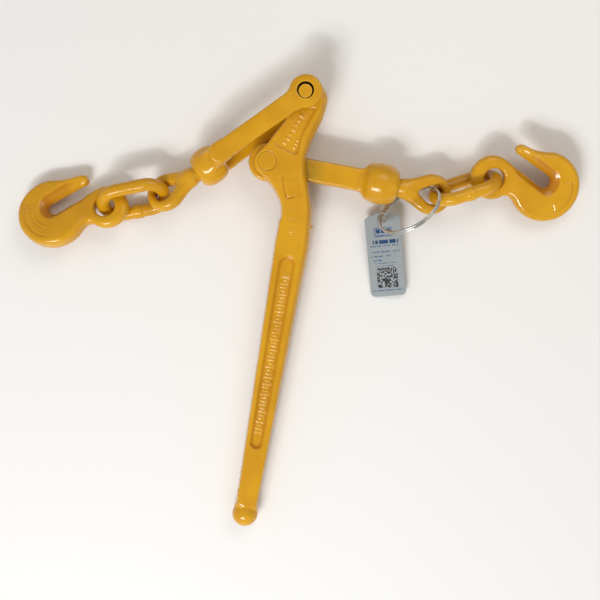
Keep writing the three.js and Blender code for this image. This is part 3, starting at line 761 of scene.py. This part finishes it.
def tag_plate_material():
    """Light-grey plate with bars and cells in place of its print; the pattern carries no text or code."""
    mat, tree, shader = material("tag_plate", (0.37, 0.40, 0.41), 0.15, 0.42)
    shader.inputs["Specular IOR Level"].default_value = 0.25
    at = add(tree, "TexCoord").outputs["Object"]
    x, y = frame_xy(tree, at, TAG)

    def within(value, low, high, soft=0.12):
        return math_node(tree, "MULTIPLY", stretch(tree, value, low - soft, low + soft),
                         stretch(tree, value, high + soft, high - soft))

    def both(a, b):
        return math_node(tree, "MULTIPLY", a, b)

    def either(a, b):
        return math_node(tree, "MAXIMUM", a, b)

    def bars(low, high, left, right, pitch, seed, blank):
        """A row of blocks between left and right, of which that share is left blank at random."""
        node = add(tree, "TexWhiteNoise", noise_dimensions="1D")
        number = math_node(tree, "FLOOR", math_node(tree, "DIVIDE", x, pitch))
        tree.links.new(math_node(tree, "ADD", number, float(seed)), node.inputs["W"])
        on = math_node(tree, "GREATER_THAN", node.outputs["Value"], blank)
        return both(both(within(y, low, high), within(x, left, right)), on)

    frame_outer = both(within(x, -8.2, 7.7), within(y, -16.8, -8.6))
    frame_inner = both(within(x, -7.3, 6.8), within(y, -16.0, -9.3))
    header = both(within(x, -6.6, 6.2), within(y, -13.6, -9.9))
    gaps = either(within(x, -2.9, -2.1), within(x, 1.7, 2.5))
    strong = math_node(tree, "SUBTRACT", header, gaps, clamp=True)
    strong = either(strong, bars(-23.2, -19.8, -12.8, 12.6, 1.15, 9, 0.24))
    faint = both(frame_outer, math_node(tree, "SUBTRACT", 1.0, frame_inner))
    faint = either(faint, bars(-16.0, -15.0, -6.4, 5.6, 0.8, 17, 0.3))
    for low, high, left, right, seed in PRINT_ROWS:
        faint = either(faint, bars(low, high, left, right, 0.85, seed, 0.27))
    cell = add(tree, "TexWhiteNoise", noise_dimensions="2D")
    corner = add(tree, "CombineXYZ")
    for value, corner_in in zip((x, y), corner.inputs):
        tree.links.new(math_node(tree, "FLOOR", math_node(tree, "DIVIDE", value, CELL_SIZE)), corner_in)
    tree.links.new(corner.outputs[0], cell.inputs["Vector"])
    square = both(both(within(x, -9.1, 9.5), within(y, -63.3, -44.9)),
                  math_node(tree, "GREATER_THAN", cell.outputs["Value"], 0.42))
    face = blend(tree, noise(tree, at, 90, 3, 0.6), PLATE_GREY, PLATE_GREY_LIGHTER)
    for weight, strength, ink in ((faint, 0.8, FAINT_PRINT),
                                  (strong, 0.95, STRONG_PRINT),
                                  (square, 0.93, CELL_PRINT)):
        face = blend(tree, math_node(tree, "MULTIPLY", weight, strength), face, ink)
    tree.links.new(face, shader.inputs["Base Color"])
    grain = noise(tree, at, 300, 2, 0.5)
    tree.links.new(stretch(tree, grain, 0.3, 0.7, 0.36, 0.5), shader.inputs["Roughness"])
    return mat


# Dirt and painted shade in the gap round each of the yoke's stubs, round the rivet's heads, and in the yoke's
# two holes.
dirt_and_shade_round_stub = (LEVER, (STUB_AT[0], STUB_AT[1] - STUB_DROP), STUB_RADIUS - 0.1, 9, 14.2, 0.96)
dirt_and_shade_round_rivet = (LEVER, (0, 0), PIN_HOLE + 0.05, 8.45, 13.5, 0.5)
dirt_and_shade_in_yoke_hole = (YOKE, (0, 0), -1, YOKE_HOLE + 0.15, 0, 0.96)
# The keys are record slots, and bodies whose paint has marks of its own.
MATERIALS = {"yellow_paint": yellow_paint("yellow_paint"),
             "lever": yellow_paint("yellow_paint_lever", [dirt_and_shade_round_stub, dirt_and_shade_round_rivet]),
             # The arm's paint has painted shade beside the lever.
             "arm": yellow_paint("yellow_paint_arm", lever_shade=(ARM, (30, 1), 4, 26)),
             "yoke": yellow_paint("yellow_paint_yoke", [dirt_and_shade_in_yoke_hole]),
             "zinc_steel": zinc_steel(),
             "tag_plate": tag_plate_material()}


# ---- pieces: name, shape, frame, lowest and highest corner of its box, cell size, body, CAD node ----
coarser = 1.0
for name, shape, place, low, high, step, body, node in (
        ("forged_lever", lever, LEVER, (-36, -327, -26.5), (57, 76, 26.5), 0.75, "lever", "lever"),
        ("main_rivet_heads", main_rivet, LEVER, (-10, -10, -17), (10, 10, 17), 0.4, "lever", "main_rivet"),
        ("forged_yoke", take_up_yoke, YOKE, (-18, -19, -27), (123, 23, 27), 0.6, "yoke", "take_up_yoke"),
        ("forged_arm", tension_arm, ARM, (-19, -20, -20), (121, 20, 20), 0.6, "arm", "tension_arm")):
    solid(name, shape, place, low, high, step * coarser, body, node)
for name, place, body, node in (("left_forged_eye", LEFT_EYE, "left_eye", "left_swivel_eye"),
                                ("right_forged_eye", RIGHT_EYE, "right_eye", "right_swivel_eye")):
    solid(name, swivel_eye, place, (-14, -20, -14), (64, 20, 14), 0.5 * coarser, body, node)
for name, place, body, side in (("left_welded_link", LEFT_LINK, "left_link", -1),
                                ("right_welded_link", RIGHT_LINK, "right_link", 1)):
    solid(name, lambda x, y, z: chain_link(x, y, z, side), place, (-36, -8, -24), (36, 8, 24), 0.45 * coarser,
          body, body)
for name, place, body in (("left_forged_hook", LEFT_HOOK, "left_hook"),
                          ("right_forged_hook", RIGHT_HOOK, "right_hook")):
    # The hooks' dished faces beside the throat get painted shade.
    solid(name, grab_hook, place, (-33, -33, -11), (70, 36, 11), 0.5 * coarser, body, body, extra_shade=throat_shade)
ring_points, ring_faces = split_ring()
piece("sprung_ring", to_world(np.array(ring_points), RING), ring_faces, "ring", "split_ring", "zinc_steel")
solid("printed_tag", tag_plate, TAG, (-18, -74, -2), (18, 7, 2), 0.3 * coarser, "tag", "tag", "tag_plate")


# ---- floor, light, camera: in metres ----
FLOOR_REACH = 6.0
WINDOW_SIDE = (-0.42, -0.86, 0.28)
CAMERA_AT = (0.00052, 0.00364, 0.859)
CAMERA_LENS, CAMERA_SENSOR = 56.6, 36


def pale_floor():
    mat, tree, shader = material("pale_floor", (0.86, 0.86, 0.86), 0.0, 0.6)
    at = add(tree, "TexCoord").outputs["Object"]
    tone = blend(tree, noise(tree, at, 1.2, 2, 0.5), (0.84, 0.84, 0.84), (0.88, 0.88, 0.88))
    tree.links.new(tone, shader.inputs["Base Color"])
    mesh = bpy.data.meshes.new("floor")
    corners = [(x * FLOOR_REACH, y * FLOOR_REACH, 0) for x, y in ((-1, -1), (1, -1), (1, 1), (-1, 1))]
    mesh.from_pydata(corners, [], [(0, 1, 2, 3)])
    mesh.materials.append(mat)
    floor = bpy.data.objects.new("floor", mesh)
    bpy.context.scene.collection.objects.link(floor)


def surroundings():
    """Soft light from all round, brighter and cooler on the window side and dimmer straight overhead."""
    world = bpy.data.worlds.new("studio")
    bpy.context.scene.world = world
    world.use_nodes = True
    tree = world.node_tree
    background = tree.nodes["Background"]
    sky = add(tree, "TexCoord").outputs["Generated"]
    towards = add(tree, "VectorMath", operation="DOT_PRODUCT")
    tree.links.new(sky, towards.inputs[0])
    towards.inputs[1].default_value = WINDOW_SIDE
    height = add(tree, "SeparateXYZ", sky).outputs[2]
    side = stretch(tree, towards.outputs["Value"], -0.9, 0.9, 0.42, 0.51)
    overhead = stretch(tree, height, 0.5, 0.95, 1.0, 0.7)
    tree.links.new(math_node(tree, "MULTIPLY", side, overhead), background.inputs["Strength"])
    tint = stretch(tree, towards.outputs["Value"], -0.9, 0.3)
    tree.links.new(blend(tree, tint, (1.0, 0.9, 0.79), (0.98, 1.0, 0.99)), background.inputs["Color"])


def softbox(name, at, target, width, height, power, colour=(1, 1, 1)):
    """Rectangular light at a point, facing the target."""
    data = bpy.data.lights.new(name, "AREA")
    data.color = colour
    data.shape = "RECTANGLE"
    data.size, data.size_y, data.energy = width, height, power
    obj = bpy.data.objects.new(name, data)
    obj.location = at
    obj.rotation_euler = (Vector(target) - Vector(at)).to_track_quat("-Z", "Y").to_euler()
    bpy.context.scene.collection.objects.link(obj)


pale_floor()
surroundings()
softbox("key", (-0.8, -1.5, 1.7), (0, 0.02, 0), 0.9, 0.6, 27)
softbox("glint", (-0.3, -1.25, 1.45), (0, 0.05, 0), 0.4, 0.08, 8)
softbox("fill", (0.45, 0.72, 1.1), (0, 0, 0), 0.9, 0.7, 4.4, (1.0, 0.88, 0.74))

camera_data = bpy.data.cameras.new("camera")
camera_data.lens, camera_data.sensor_width = CAMERA_LENS, CAMERA_SENSOR
camera = bpy.data.objects.new("camera", camera_data)
camera.location = CAMERA_AT
bpy.context.scene.collection.objects.link(camera)
bpy.context.scene.camera = camera
bpy.context.scene.view_settings.view_transform = "Standard"
